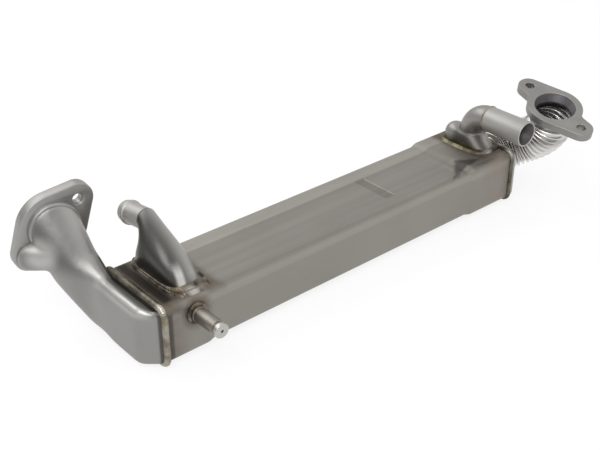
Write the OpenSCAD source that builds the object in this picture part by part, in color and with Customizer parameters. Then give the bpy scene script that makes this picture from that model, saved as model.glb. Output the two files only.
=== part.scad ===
// Exhaust gas recirculation cooler: a stainless casing with a tube bundle,
// a cast gas inlet duct, a bellows gas outlet and two coolant pipes.
// Sizes in millimetres. +X runs from gas inlet to gas outlet, +Y to the rear, +Z up.

/* [Casing] */
// Length of the casing between its two tube sheets, outside to outside
body_len = 418; // [360:1:480]
// Width of the casing's middle
body_w = 79; // [72:1:92]
// Height of the casing's middle
body_h = 48.5; // [46:0.5:60]
// Corner radius of the casing's middle
corner_r = 5; // [4:0.5:9]
// How far the flared ends stand proud on every side
flare = 2; // [1:0.25:3]
// Thickness of the casing sheet
sheet = 1.5; // [1:0.1:2.5]
// Length of the flared gas inlet end
flare_in = 42; // [36:1:48]
// Length of the flared gas outlet end
flare_out = 54; // [46:1:60]
// Length of each taper between the middle and a flared end
taper = 10; // [4:1:16]
// Height of the flared ends' underside above the rest plane
base_z = 3; // [2.5:0.25:8]

/* [Top panel] */
// Depth of the pressed top panel
panel_depth = 1.6; // [0.8:0.1:2.4]
// Front edge of the pressed top panel
panel_front = -32.5; // [-32.5:0.5:-20]
// Rear edge of the pressed top panel
panel_rear = 20; // [15:0.5:28]
// Position along the casing of the panel's crosswise groove
groove_x = 266; // [120:1:320]
// Width of the crosswise groove
groove_w = 11; // [4:0.5:14]
// Front end of the crosswise groove
groove_front = -22; // [-28:0.5:-10]
// Depth of the crosswise groove below the panel
groove_depth = 1; // [0.5:0.1:1.6]

/* [Tube bundle] */
// Outer diameter of a gas tube
tube_od = 9; // [6:0.25:10]
// Wall of a gas tube
tube_wall = 0.7; // [0.5:0.1:1]
// Gas tubes in a row
tube_cols = 6; // [3:1:6]
// Rows of gas tubes
tube_rows = 3; // [2:1:3]
// Distance between gas tubes
tube_pitch = 11.5; // [11:0.25:12]
// Thickness of a tube sheet
sheet_plate = 2; // [1.5:0.25:3]
// Thickness of a baffle
baffle_t = 1.2; // [0.8:0.1:2]
// Number of baffles
baffle_n = 5; // [2:1:8]

/* [Gas inlet duct] */
// Depth of the inlet header in front of the casing
header_d = 16; // [13:0.5:20]
// Wall of the cast duct
cast_wall = 3; // [2.5:0.25:4]
// Rear reach of the inlet flange's mating face
inlet_y = 90.5; // [86:0.5:98]
// Height of the inlet flange's centre above the rest plane
inlet_z = 84.5; // [80:0.5:90]
// Sideways place of the inlet flange's centre
inlet_x = -20; // [-24:0.5:-16]
// Turn of the inlet flange about the vertical
inlet_turn = -6; // [-10:0.5:4]
// Turn of the inlet flange's bolt line in its own plane
inlet_clock = 140; // [130:1:150]
// Bolt spacing of the inlet flange
inlet_bolts = 60; // [58:0.5:66]
// Bore of the inlet flange
inlet_bore = 33; // [28:0.5:36]
// Thickness of the inlet flange
inlet_flange_t = 10.5; // [8:0.5:12]

/* [Gas outlet] */
// Depth of the outlet cap
cap_d = 8; // [7:0.5:12]
// Bore of the bellows
bellows_bore = 37; // [32:0.5:38]
// Outer diameter of the bellows
bellows_od = 47; // [45:0.5:50]
// Sideways place of the bellows where it leaves the cap
bellows_y = 3.5; // [-6:0.5:6]
// Height of the bellows above the casing's middle plane
bellows_up = 1; // [-1:0.25:1]
// Straight length of the bellows before it bends
bellows_run = 6; // [2:0.5:12]
// Bend radius of the bellows on its middle line
bend_r = 41; // [34:0.5:48]
// Lean of the first bend to the front in degrees
bend_lean = 56; // [30:1:70]
// First bend of the bellows in degrees
bend_a = 74; // [60:1:80]
// Turn of the second bend's plane about the bellows in degrees
bend_roll = 63; // [40:1:75]
// Second bend of the bellows in degrees
bend_b = 49; // [30:1:60]
// Convolutions in the first bend
waves_a = 10; // [5:1:11]
// Convolutions in the second bend
waves_b = 7; // [3:1:8]
// Bolt spacing of the outlet flange
outlet_bolts = 76; // [74:0.5:84]
// Turn of the outlet flange's bolt line in its own plane
outlet_clock = 143; // [0:1:180]
// Bore of the outlet flange
outlet_bore = 41; // [40:0.5:44]
// Thickness of the outlet flange
outlet_flange_t = 8.5; // [7:0.5:11]
// Bolt hole in both flanges
bolt_hole = 9; // [8.4:0.1:9.5]

/* [Coolant pipes] */
// Distance of the coolant outlet from the inlet end
out_pipe_x = 36; // [32:0.5:37]
// Outer diameter of the coolant outlet's hose end
hose_od = 19; // [16:0.25:20]
// Distance of the coolant inlet from the casing's outlet end
in_pipe_back = 12.5; // [12:0.5:16]
// Outer diameter of the coolant inlet tube
in_tube_od = 25.4; // [22:0.2:26]
// Reach of the coolant inlet tube to the front
in_tube_reach = 64; // [50:1:80]
// Wall of the coolant pipes
pipe_wall = 1.6; // [1.2:0.1:2]

/* [Bleed fitting] */
// Distance of the bleed fitting from the inlet end
bleed_x = 31; // [24:0.5:34]
// Height of the bleed fitting above the casing's middle plane
bleed_up = 12; // [0:0.5:12]
// Outer diameter of the bleed stud
bleed_od = 13; // [10:0.25:13]
// Reach of the bleed stud in front of the casing
bleed_reach = 34; // [26:1:40]

/* [Welds] */
// Radius of the two seams round the casing's ends
seam_r = 2.8; // [2:0.1:3]
// Radius of the seams at the feet of the coolant pipes
base_r = 3; // [1.6:0.1:3.4]
// Radius of the seams at the stub, the flange and the bleed fitting
fillet_r = 2; // [1.2:0.1:2.4]

/* [Hidden] */
$fn = 48;
cy = body_w / 2 - corner_r;
cz = body_h / 2 - corner_r;
end_r = corner_r + flare;
end_w = body_w + 2 * flare;
end_h = body_h + 2 * flare;
zc = base_z + end_h / 2;
top_z = base_z + end_h;
front_y = -end_w / 2;
x_in = sheet_plate;
x_out = body_len - sheet_plate;
tube_r = tube_od / 2;
tube_zc = zc - 1.5;
stub_r = bellows_bore / 2 + 0.8;
wave_r = bellows_od / 2;
bellows_x = body_len + cap_d + 4;
neck_len = 7;
duct_r = inlet_bore / 2 + cast_wall;
in_pipe_x = body_len - in_pipe_back;
in_tube_z = top_z + 31.8;
out_half = 15;
out_y0 = -28;
out_y1 = 34;
in_half = 14;
in_base_x = in_pipe_x - 1.5;
in_y0 = -23;
in_y1 = 32;
hose_y = 30;
hose_z = top_z + 37;
hose_drop = 9;
hose_len = 31;
elbow_y = -1;
elbow_bend = 16;
bleed_hole = 2.5;
boss_len = 5;
boss_r = bleed_od / 2 + 0.5;
neck_r = stub_r + 2.2;
ring_r = 1;
weld_prep = 1.2;
collar_d = 3.5;
mid_x = body_len / 2 + 14;

// Rounded rectangular prism or taper on the casing's axis from x0 to x1
module rr(x0, x1, r0, r1) {
  d = x1 - x0;
  translate([x0, 0, zc]) {
    for (sy = [-1, 1], sz = [-1, 1])
      translate([0, sy * cy, sz * cz])
        rotate([0, 90, 0])
          cylinder(h = d, r1 = r0, r2 = r1);
    rotate([90, 0, 0])
      linear_extrude(height = 2 * cy, center = true)
        polygon([[0, cz + r0], [d, cz + r1], [d, -cz - r1], [0, -cz - r0]]);
    linear_extrude(height = 2 * cz, center = true)
      polygon([[0, cy + r0], [d, cy + r1], [d, -cy - r1], [0, -cy - r0]]);
  }
}

// The casing's form with its flared ends, grown by g; corners and flats follow one profile along X
module body_form(g, e = 0) {
  profile = [[x_in - e, end_r + g], [flare_in, end_r + g], [flare_in + taper, corner_r + g],
    [body_len - flare_out - taper, corner_r + g], [body_len - flare_out, end_r + g], [x_out + e, end_r + g]];
  translate([0, 0, zc]) {
    for (sy = [-1, 1], sz = [-1, 1])
      translate([0, sy * cy, sz * cz])
        rotate([0, 90, 0])
          rotate_extrude()
            polygon(concat([[0, x_in - e]], [for (q = profile) [q[1], q[0]]], [[0, x_out + e]]));
    rotate([90, 0, 0])
      linear_extrude(height = 2 * cy, center = true)
        polygon(concat([for (q = profile) [q[0], cz + q[1]]],
          [for (i = [5 : -1 : 0]) [profile[i][0], -cz - profile[i][1]]]));
    linear_extrude(height = 2 * cz, center = true)
      polygon(concat([for (q = profile) [q[0], cy + q[1]]],
        [for (i = [5 : -1 : 0]) [profile[i][0], -cy - profile[i][1]]]));
  }
}

// Moves a piece so that the origin lies under the middle of the whole part
module place() {
  translate([-mid_x, 0, 0])
    children();
}

// Space taken by the pressed panel and its groove, grown by g sideways and downward
module panel_form(g) {
  px0 = flare_in + taper + 6;
  px1 = body_len - flare_out - taper - 6;
  pz = top_z - flare - panel_depth;
  translate([px0 - g, panel_front - g, pz - g])
    cube([px1 - px0 + 2 * g, panel_rear - panel_front + 2 * g, 20]);
  translate([groove_x - groove_w / 2 - g, groove_front - g, pz - groove_depth - g])
    cube([groove_w + 2 * g, panel_rear - 1 - groove_front + 2 * g, 20]);
}

// Slot outline lying along Y with round ends
module slot2(r, y0, y1) {
  translate([0, y0 + r])
    circle(r = r);
  translate([0, y1 - r])
    circle(r = r);
  translate([-r, y0 + r])
    square([2 * r, y1 - y0 - 2 * r]);
}

// Round bead following a slot outline
module slot_bead(r, y0, y1, b) {
  for (s = [-1, 1])
    translate([s * r, y0 + r, 0])
      rotate([-90, 0, 0])
        cylinder(h = y1 - y0 - 2 * r, r = b);
  translate([0, y1 - r, 0])
    rotate_extrude(angle = 180)
      translate([r, 0])
        circle(r = b);
  translate([0, y0 + r, 0])
    rotate([0, 0, 180])
      rotate_extrude(angle = 180)
        translate([r, 0])
          circle(r = b);
}

// Round bead following the casing's flared outline at x
module seam_bead(x, b) {
  translate([x, 0, zc]) {
    for (s = [-1, 1]) {
      translate([0, -cy, s * (cz + end_r)])
        rotate([-90, 0, 0])
          cylinder(h = 2 * cy, r = b);
      translate([0, s * (cy + end_r), -cz])
        cylinder(h = 2 * cz, r = b);
    }
    for (q = [0, 1, 2, 3])
      translate([0, (q == 0 || q == 3 ? 1 : -1) * cy, (q < 2 ? 1 : -1) * cz])
        rotate([90 * q, 0, 0])
          rotate([90, 0, 90])
            rotate_extrude(angle = 90)
              translate([end_r, 0])
                circle(r = b);
  }
}

// Two-lug flange outline, tangent to its lugs; lug centres on the X axis
module lugs2(rc, rl, d) {
  ca = (rc - rl) / d;
  sa = sqrt(1 - ca * ca);
  circle(r = rc);
  for (s = [-1, 1])
    translate([s * d, 0])
      circle(r = rl);
  polygon([[rc * ca, rc * sa], [d + rl * ca, rl * sa], [d + rl * ca, -rl * sa], [rc * ca, -rc * sa],
    [-rc * ca, -rc * sa], [-d - rl * ca, -rl * sa], [-d - rl * ca, rl * sa], [-rc * ca, rc * sa]]);
}

// Two-lug flange outline, each lug tangent on one side and stepped on the other
module hooks2(rc, rl, d) {
  ca = (rc - rl) / d;
  sa = sqrt(1 - ca * ca);
  circle(r = rc);
  for (q = [0, 180])
    rotate([0, 0, q]) {
      translate([d, 0])
        circle(r = rl);
      polygon([[0, 0], [rc * ca, -rc * sa], [d + rl * ca, -rl * sa], [d, rl], [0, rl]]);
    }
}

// Frame of the inlet flange: +Z leaves the mating face to the rear
module at_inlet() {
  translate([inlet_x, inlet_y, inlet_z])
    rotate([0, 0, inlet_turn])
      rotate([-90, 0, 0])
        rotate([0, 0, 180])
          children();
}

// Start of the bellows' first bend: +X runs on along the middle line, +Z to the bend's centre
module at_bend_a() {
  translate([bellows_x, bellows_y, zc + bellows_up])
    rotate([bend_lean, 0, 0])
      translate([bellows_run, 0, 0])
        children();
}

// Start of the bellows' second bend, turned about the middle line
module at_bend_b() {
  at_bend_a()
    translate([0, 0, bend_r])
      rotate([0, -bend_a, 0])
        translate([0, 0, -bend_r])
          rotate([-bend_roll, 0, 0])
            children();
}

// End of the bellows: +Z runs on along the middle line
module at_outlet() {
  at_bend_b()
    translate([0, 0, bend_r])
      rotate([0, -bend_b, 0])
        translate([0, 0, -bend_r])
          rotate([0, 90, 0])
            children();
}

// Round bar of radius r following a bend from angle a0 to a1
module bend_bar(a0, a1, r) {
  translate([0, 0, bend_r])
    rotate([90, 90, 0])
      rotate([0, 0, a0])
        rotate_extrude(angle = a1 - a0)
          translate([bend_r, 0])
            circle(r = r);
}

// Outer form of the cast duct, shrunk by g
module duct_form(g) {
  hx = header_d - g;
  hh = end_h - 2 * g;
  hy0 = front_y + 20;
  hy1 = -front_y - 4;
  // header along the casing's end
  hull() {
    for (y = [hy0, hy1]) {
      translate([9 - hx, y, zc])
        cylinder(h = hh - 8, r = 9, center = true);
      translate([12 - hx, y, zc])
        cylinder(h = hh, r = 8, center = true);
    }
    rr(-1.5, 0, end_r - g, end_r - g);
  }
  // rise from the header's rear to the knee
  hull() {
    translate([12 - hx, hy1 - 1, zc])
      cylinder(h = hh, r = 12 - 0.2 * g, center = true);
    duct_knee(g);
  }
  // sweep from the knee to the collar behind the flange
  hull() {
    duct_knee(g);
    at_inlet()
      translate([0, 0, -inlet_flange_t - collar_d])
        cylinder(h = collar_d + 1, r = g > 0 ? inlet_bore / 2 - 0.5 : duct_r + 2);
  }
}

// Ball at the bend of the cast duct, shrunk by g
module duct_knee(g) {
  translate([inlet_x + 5.5, inlet_y - 28.5, inlet_z - 31])
    sphere(r = duct_r + 2 - g, $fn = 32);
}

module inlet_duct() {
  color("silver")
    place()
      difference() {
        union() {
          difference() {
            duct_form(0);
            translate([0, -200, -200])
              cube([100, 400, 400]);
            difference() {
              translate([-2, -200, -200])
                cube([60, 400, 500]);
              rr(-3, 61, end_r, end_r);
            }
            at_inlet()
              translate([-100, -100, -inlet_flange_t])
                cube([200, 200, 100]);
          }
          at_inlet()
            translate([0, 0, -inlet_flange_t])
              linear_extrude(height = inlet_flange_t)
                rotate([0, 0, inlet_clock])
                  lugs2(duct_r + 10.5, 14, inlet_bolts / 2);
        }
        difference() {
          duct_form(cast_wall);
          translate([-2 - cast_wall, -front_y, -50])
            cube([60, 100, 200]);
          at_inlet()
            translate([-100, -100, -inlet_flange_t - collar_d + 0.5])
              cube([200, 200, 100]);
        }
        rr(-1, 1, end_r - cast_wall, end_r - cast_wall);
        at_inlet()
          translate([0, 0, -inlet_flange_t - collar_d + 0.5])
            cylinder(h = inlet_flange_t + collar_d + 1, r = inlet_bore / 2);
        at_inlet()
          rotate([0, 0, inlet_clock])
            for (s = [-1, 1])
              translate([s * inlet_bolts / 2, 0, -inlet_flange_t - 1])
                cylinder(h = inlet_flange_t + 2, r = bolt_hole / 2);
      }
}

module inlet_seam_weld() {
  color("tan")
    place()
      difference() {
        seam_bead(x_in / 2, seam_r);
        rr(-10, 12, end_r, end_r);
      }
}

// Gas tubes' places on the casing's axis
module tube_grid() {
  for (c = [0 : tube_cols - 1], r = [0 : tube_rows - 1])
    translate([0, (c - (tube_cols - 1) / 2) * tube_pitch, tube_zc + (r - (tube_rows - 1) / 2) * tube_pitch])
      rotate([0, 90, 0])
        children();
}

module inlet_tube_sheet() {
  color("gainsboro")
    place()
      difference() {
        rr(0, x_in, end_r, end_r);
        translate([-1, 0, 0])
          tube_grid()
            cylinder(h = x_in + 2, r = tube_r);
      }
}

module outlet_tube_sheet() {
  color("gainsboro")
    place()
      difference() {
        rr(x_out, body_len, end_r, end_r);
        translate([x_out - 1, 0, 0])
          tube_grid()
            cylinder(h = sheet_plate + 2, r = tube_r);
      }
}

module casing() {
  color("lightsteelblue")
    place()
      difference() {
        body_form(0);
        panel_form(0);
        difference() {
          body_form(-sheet, 1);
          panel_form(sheet);
        }
        translate([out_pipe_x, 0, top_z - 12])
          linear_extrude(height = 20)
            slot2(out_half - 4, out_y0 + 4, out_y1 - 4);
        translate([in_base_x, 0, top_z - 12])
          linear_extrude(height = 20)
            slot2(in_half - 4, in_y0 + 4, in_y1 - 4);
        translate([bleed_x, front_y - 1, zc + bleed_up])
          rotate([-90, 0, 0])
            cylinder(h = 8, r = bleed_hole);
      }
}

module gas_tubes() {
  color("darkgray")
    place()
      translate([-1, 0, 0])
        tube_grid()
          difference() {
            cylinder(h = body_len + 2, r = tube_r);
            translate([0, 0, -1])
              cylinder(h = body_len + 4, r = tube_r - tube_wall);
          }
}

module baffles() {
  bx0 = flare_in + taper + 24;
  bx1 = body_len - flare_out - taper - 24;
  color("gray")
    place()
      for (i = [0 : baffle_n - 1]) {
        bx = bx0 + (bx1 - bx0) * i / (baffle_n - 1);
        difference() {
          rr(bx, bx + baffle_t, corner_r - sheet, corner_r - sheet);
          panel_form(sheet);
          translate([bx - 1, -100, i % 2 == 0 ? tube_zc + 17.5 : tube_zc - 117.5])
            cube([baffle_t + 2, 200, 100]);
          translate([bx - 1, 0, 0])
            tube_grid()
              cylinder(h = baffle_t + 2, r = tube_r);
        }
      }
}

module outlet_seam_weld() {
  color("tan")
    place()
      difference() {
        seam_bead(body_len - sheet_plate / 2, seam_r);
        rr(x_out - 12, body_len + cap_d, end_r, end_r);
        translate([in_base_x, 0, top_z - 1])
          linear_extrude(height = 20)
            slot2(in_half + base_r, in_y0 - base_r, in_y1 + base_r);
      }
}

module outlet_cap() {
  color("silver")
    place()
      difference() {
        union() {
          rr(body_len, body_len + cap_d - 4, end_r, end_r);
          rr(body_len + cap_d - 4, body_len + cap_d, end_r, end_r - 4);
        }
        rr(body_len - 1, body_len + cap_d - 4, end_r - 2.5, end_r - 2.5);
        rr(body_len + cap_d - 4, body_len + cap_d - 2, end_r - 2.5, end_r - 4.5);
        translate([body_len, bellows_y, zc + bellows_up])
          rotate([0, 90, 0])
            cylinder(h = cap_d + 1, r = stub_r);
      }
}

module outlet_stub() {
  color("silver")
    place()
      translate([body_len + cap_d - 3, bellows_y, zc + bellows_up])
        rotate([0, 90, 0])
          difference() {
            cylinder(h = bellows_x - body_len - cap_d + 3, r = stub_r);
            translate([0, 0, -1])
              cylinder(h = 20, r = bellows_bore / 2);
          }
}

module stub_weld() {
  color("tan")
    place()
      translate([body_len + cap_d, bellows_y, zc + bellows_up])
        rotate([0, 90, 0])
          difference() {
            rotate_extrude()
              translate([stub_r, 0])
                circle(r = fillet_r);
            translate([0, 0, -20])
              cylinder(h = 20, r = 40);
            translate([0, 0, -1])
              cylinder(h = 20, r = stub_r);
          }
}

module bellows() {
  step_a = bend_a / waves_a;
  step_b = bend_b / waves_b;
  color("whitesmoke")
    place()
      difference() {
        union() {
          at_bend_a() {
            translate([-bellows_run, 0, 0])
              rotate([0, 90, 0])
                cylinder(h = bellows_run, r = stub_r);
            bend_bar(0, bend_a, stub_r);
            for (i = [0 : waves_a - 1])
              bend_bar((i + 0.25) * step_a, (i + 0.75) * step_a, wave_r);
          }
          at_bend_b() {
            translate([-1, 0, 0])
              rotate([0, 90, 0])
                cylinder(h = 2, r = stub_r + 0.4);
            bend_bar(0, bend_b, stub_r);
            for (i = [0 : waves_b - 1])
              bend_bar((i + 0.25) * step_b, (i + 0.75) * step_b, wave_r);
          }
        }
        at_bend_a() {
          translate([-bellows_run - 1, 0, 0])
            rotate([0, 90, 0])
              cylinder(h = bellows_run + 1, r = bellows_bore / 2);
          bend_bar(0, bend_a, bellows_bore / 2);
        }
        at_bend_b()
          bend_bar(0, bend_b, bellows_bore / 2);
      }
}

module outlet_neck() {
  color("silver")
    place()
      at_outlet()
        difference() {
          cylinder(h = neck_len, r = neck_r);
          translate([0, 0, -1])
            cylinder(h = neck_len + 2, r = bellows_bore / 2);
        }
}

module outlet_flange() {
  color("darkgray")
    place()
      at_outlet()
        translate([0, 0, neck_len])
          difference() {
            linear_extrude(height = outlet_flange_t)
              rotate([0, 0, outlet_clock])
                hooks2(outlet_bore / 2 + 7.5, 12, outlet_bolts / 2);
            translate([0, 0, -1])
              cylinder(h = outlet_flange_t + 2, r = outlet_bore / 2);
            rotate([0, 0, outlet_clock])
              for (s = [-1, 1])
                translate([s * outlet_bolts / 2, 0, -1])
                  cylinder(h = outlet_flange_t + 2, r = bolt_hole / 2);
          }
}

module flange_weld() {
  color("tan")
    place()
      at_outlet()
        difference() {
          translate([0, 0, neck_len])
            rotate_extrude()
              translate([neck_r, 0])
                circle(r = fillet_r);
          translate([0, 0, neck_len])
            cylinder(h = 20, r = 40);
          translate([0, 0, -10])
            cylinder(h = 40, r = neck_r);
        }
}

// Frame of the coolant outlet's hose end: +Z leaves to the rear
module at_hose() {
  translate([out_pipe_x, hose_y, hose_z])
    rotate([-90 - hose_drop, 0, 0])
      children();
}

// Form of the coolant outlet pipe, shrunk by g
module out_pipe_form(g) {
  e = g > 0 ? 1 : 0;
  hull() {
    translate([out_pipe_x, 0, top_z - flare - e])
      linear_extrude(height = flare + base_r + 0.5 + e)
        slot2(out_half - g, out_y0 + g, out_y1 - g);
    translate([out_pipe_x, -4, top_z + 19])
      sphere(r = 15 - g, $fn = 32);
    translate([out_pipe_x, 15, top_z + 25])
      sphere(r = 12 - g, $fn = 32);
  }
  hull() {
    translate([out_pipe_x, -4, top_z + 19])
      sphere(r = 14.5 - g, $fn = 32);
    translate([out_pipe_x, 15, top_z + 25])
      sphere(r = 11.5 - g, $fn = 32);
    at_hose()
      translate([0, 0, -3])
        cylinder(h = 3 + e, r = hose_od / 2 - g);
  }
}

module coolant_outlet_pipe() {
  color("silver")
    place()
      difference() {
        out_pipe_form(0);
        body_form(0);
        out_pipe_form(pipe_wall);
      }
}

module coolant_outlet_nipple() {
  color("whitesmoke")
    place()
      at_hose()
        difference() {
          union() {
            cylinder(h = hose_len, r = hose_od / 2);
            translate([0, 0, hose_len - 7])
              rotate_extrude()
                translate([hose_od / 2 - 0.6, 0])
                  circle(r = 1.8);
          }
          translate([0, 0, -1])
            cylinder(h = hose_len + 2, r = hose_od / 2 - pipe_wall);
        }
}

module coolant_outlet_weld() {
  color("tan")
    place()
      difference() {
        translate([out_pipe_x, 0, top_z])
          slot_bead(out_half, out_y0, out_y1, base_r);
        body_form(0);
        translate([out_pipe_x, 0, top_z - 10])
          linear_extrude(height = 20)
            slot2(out_half, out_y0, out_y1);
      }
}

module bleed_boss() {
  color("silver")
    place()
      translate([bleed_x, front_y, zc + bleed_up])
        rotate([90, 0, 0])
          difference() {
            cylinder(h = boss_len, r = boss_r);
            translate([0, 0, -1])
              cylinder(h = boss_len + 2, r = bleed_hole);
          }
}

module bleed_stud() {
  color("whitesmoke")
    place()
      translate([bleed_x, front_y - boss_len, zc + bleed_up])
        rotate([90, 0, 0])
          difference() {
            cylinder(h = bleed_reach - boss_len, r = bleed_od / 2);
            translate([0, 0, bleed_reach - boss_len - 6])
              difference() {
                cylinder(h = 2, r = bleed_od);
                cylinder(h = 2, r = bleed_od / 2 - 0.9);
              }
            translate([0, 0, -1])
              cylinder(h = bleed_reach + 2, r = 1);
          }
}

module bleed_weld() {
  color("tan")
    place()
      translate([bleed_x, front_y, zc + bleed_up])
        rotate([90, 0, 0])
          difference() {
            rotate_extrude()
              translate([boss_r, 0])
                circle(r = fillet_r);
            translate([0, 0, -20])
              cylinder(h = 20, r = 40);
            translate([0, 0, -1])
              cylinder(h = 20, r = boss_r);
          }
}

// Form of the coolant inlet elbow, shrunk by g
module elbow_form(g) {
  hull() {
    translate([in_base_x, 0, top_z])
      linear_extrude(height = 1.5)
        slot2(in_half - g, in_y0 + g, in_y1 - g);
    translate([in_base_x - 2, in_y1 - 11.5, top_z + 6])
      sphere(r = 11 - g, $fn = 32);
    translate([in_pipe_x, elbow_y, in_tube_z - elbow_bend - 1])
      cylinder(h = 1, r = in_tube_od / 2 - g);
  }
  translate([in_pipe_x, elbow_y, in_tube_z - elbow_bend - 4])
    cylinder(h = 4, r = in_tube_od / 2 - g);
  translate([in_pipe_x, elbow_y - elbow_bend, in_tube_z - elbow_bend])
    rotate([90, 0, 90])
      rotate_extrude(angle = 90)
        translate([elbow_bend, 0])
          circle(r = in_tube_od / 2 - g);
}

module coolant_inlet_elbow() {
  color("silver")
    place()
      difference() {
        elbow_form(0);
        translate([in_pipe_x - 40, -60, top_z - 30])
          cube([80, 120, 30]);
        elbow_form(pipe_wall);
        translate([in_base_x, 0, top_z - 1])
          linear_extrude(height = 2)
            slot2(in_half - pipe_wall, in_y0 + pipe_wall, in_y1 - pipe_wall);
      }
}

// Outside of the coolant inlet tube, bevelled where it is welded to the elbow
module tube_form() {
  cylinder(h = weld_prep, r1 = in_tube_od / 2 - weld_prep, r2 = in_tube_od / 2);
  translate([0, 0, weld_prep])
    cylinder(h = in_tube_reach + elbow_y - elbow_bend - weld_prep, r = in_tube_od / 2);
}

module coolant_inlet_tube() {
  color("whitesmoke")
    place()
      translate([in_pipe_x, elbow_y - elbow_bend, in_tube_z])
        rotate([90, 0, 0])
          difference() {
            tube_form();
            translate([0, 0, -1])
              cylinder(h = in_tube_reach + 2, r = in_tube_od / 2 - pipe_wall);
          }
}

module coolant_inlet_weld() {
  color("tan")
    place()
      difference() {
        translate([in_base_x, 0, top_z])
          slot_bead(in_half, in_y0, in_y1, base_r);
        body_form(0);
        rr(x_out, body_len + cap_d, end_r, end_r);
        translate([in_base_x, 0, top_z - 10])
          linear_extrude(height = 20)
            slot2(in_half, in_y0, in_y1);
      }
}

module elbow_ring_weld() {
  color("tan")
    place()
      translate([in_pipe_x, elbow_y - elbow_bend, in_tube_z])
        rotate([90, 0, 0])
          difference() {
            rotate_extrude()
              translate([in_tube_od / 2, 0])
                circle(r = ring_r);
            translate([0, 0, -20])
              cylinder(h = 20, r = 40);
            tube_form();
          }
}

inlet_duct();
inlet_seam_weld();
inlet_tube_sheet();
casing();
gas_tubes();
baffles();
outlet_tube_sheet();
outlet_seam_weld();
outlet_cap();
outlet_stub();
stub_weld();
bellows();
outlet_neck();
outlet_flange();
flange_weld();
coolant_outlet_pipe();
coolant_outlet_nipple();
coolant_outlet_weld();
bleed_boss();
bleed_stud();
bleed_weld();
coolant_inlet_elbow();
coolant_inlet_tube();
coolant_inlet_weld();
elbow_ring_weld();
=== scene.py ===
"""Looks of the exhaust gas cooler: smooth cast and formed pieces, rippled welds and worn steel."""
import math

import bmesh
import bpy
import numpy as np
from mathutils import Matrix, Vector


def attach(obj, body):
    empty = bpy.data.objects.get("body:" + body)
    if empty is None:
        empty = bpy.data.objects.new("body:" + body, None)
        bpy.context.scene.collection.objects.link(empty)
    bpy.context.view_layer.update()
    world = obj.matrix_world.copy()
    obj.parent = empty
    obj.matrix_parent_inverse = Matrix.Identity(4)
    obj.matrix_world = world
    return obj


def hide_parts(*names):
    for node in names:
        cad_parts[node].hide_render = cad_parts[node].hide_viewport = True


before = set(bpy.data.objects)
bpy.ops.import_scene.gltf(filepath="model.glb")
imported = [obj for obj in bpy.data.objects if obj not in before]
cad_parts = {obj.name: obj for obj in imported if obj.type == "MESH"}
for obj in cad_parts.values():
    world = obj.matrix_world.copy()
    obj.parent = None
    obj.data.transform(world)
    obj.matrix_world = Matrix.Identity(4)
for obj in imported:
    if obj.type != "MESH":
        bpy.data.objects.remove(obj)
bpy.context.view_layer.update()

MM = 0.001

# Sizes in millimetres, mostly as in the part's source; x is counted from the casing's inlet end
LEN, WIDE, HIGH, CORNER, FLARE, BASE = 418.0, 79.0, 48.5, 5.0, 2.0, 3.0
CY, CZ = WIDE / 2 - CORNER, HIGH / 2 - CORNER
END_R = CORNER + FLARE
ZC = BASE + HIGH / 2 + FLARE
TOP = BASE + HIGH + 2 * FLARE
FRONT = -WIDE / 2 - FLARE
IN_FLARE, OUT_FLARE = (42.0, 52.0), (LEN - 64.0, LEN - 54.0)
PANEL_X, GROOVE_X = (58.0, 348.0), 266.0
OUT_X, OUT_HALF, OUT_Y = 36.0, 15.7, (-28.0, 37.5)
IN_X, IN_HALF, IN_Y = LEN - 12.5, 14.0, (-23.0, 32.0)
IN_BASE, IN_Z = IN_X - 1.5, TOP + 31.8
BLEED = (31.0, ZC + 12.0)
# Coolant tube and hose end: outer and bore radius; the elbow's bend and where it meets the tube
TUBE_R, TUBE_BORE, HOSE_R, HOSE_BORE = 12.65, 11.1, 9.5, 7.9
ELBOW_BEND, ELBOW_END = 19.5, -17.0
# Gas inlet: middle of its mating face, the face's turn in degrees and its slope
GAS_IN, GAS_IN_TURN, GAS_IN_SLOPE = (-20.0, 90.5, 84.5), 6, 0.105
# Gas outlet: the cap's end, the stub's height and place behind the middle, and the bore's radius
CAP_END, STUB_Z, STUB_Y, GAS_BORE = LEN + 8.0, ZC + 1, 3.5, 18.5
# Flanges: bolt hole radius, and how each outline is turned on its face, in degrees
BOLT_R, IN_CLOCK, OUT_CLOCK = 4.5, 140, 143
# Rounds of flow that soften a cast skin, and the turn in radians that spreads points over a ball
FLOW_ROUNDS, GOLDEN_ANGLE = 260, 2.399963
# Distance from the casing's inlet end to the origin under the part's middle
MID_X = LEN / 2 + 14.0


def step(a, b, v):
    """Smooth rise from 0 at a to 1 at b."""
    t = np.clip((np.asarray(v, float) - a) / (b - a), 0, 1)
    return t * t * (3 - 2 * t)


# Shader building


class Val:
    """A node's socket that can be used in sums."""

    def __init__(self, nodes, socket):
        self.nodes, self.socket = nodes, socket

    def calc(self, op, *rest):
        return self.nodes.node("ShaderNodeMath", {"operation": op}, dict(enumerate((self,) + rest)))

    def __add__(self, o):
        return self.calc("ADD", o)

    def __sub__(self, o):
        return self.calc("SUBTRACT", o)

    def __rsub__(self, o):
        return (self * -1.0) + o

    def __mul__(self, o):
        return self.calc("MULTIPLY", o)

    def __pow__(self, o):
        return self.calc("POWER", o)

    def __abs__(self):
        return self.calc("ABSOLUTE")

    __radd__, __rmul__ = __add__, __mul__

    def least(self, o):
        return self.calc("MINIMUM", o)

    def most(self, o):
        return self.calc("MAXIMUM", o)

    def step(self, a, b, lo=0.0, hi=1.0):
        """Smooth change from lo at a to hi at b."""
        return self.nodes.node("ShaderNodeMapRange", {"interpolation_type": "SMOOTHSTEP"},
                               {0: self, 1: a, 2: b, 3: lo, 4: hi})

    def bump(self, centre, half, soft):
        """1 within half of centre, falling to 0 over soft."""
        return abs(self - centre).step(half, half + soft, 1.0, 0.0)


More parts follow.
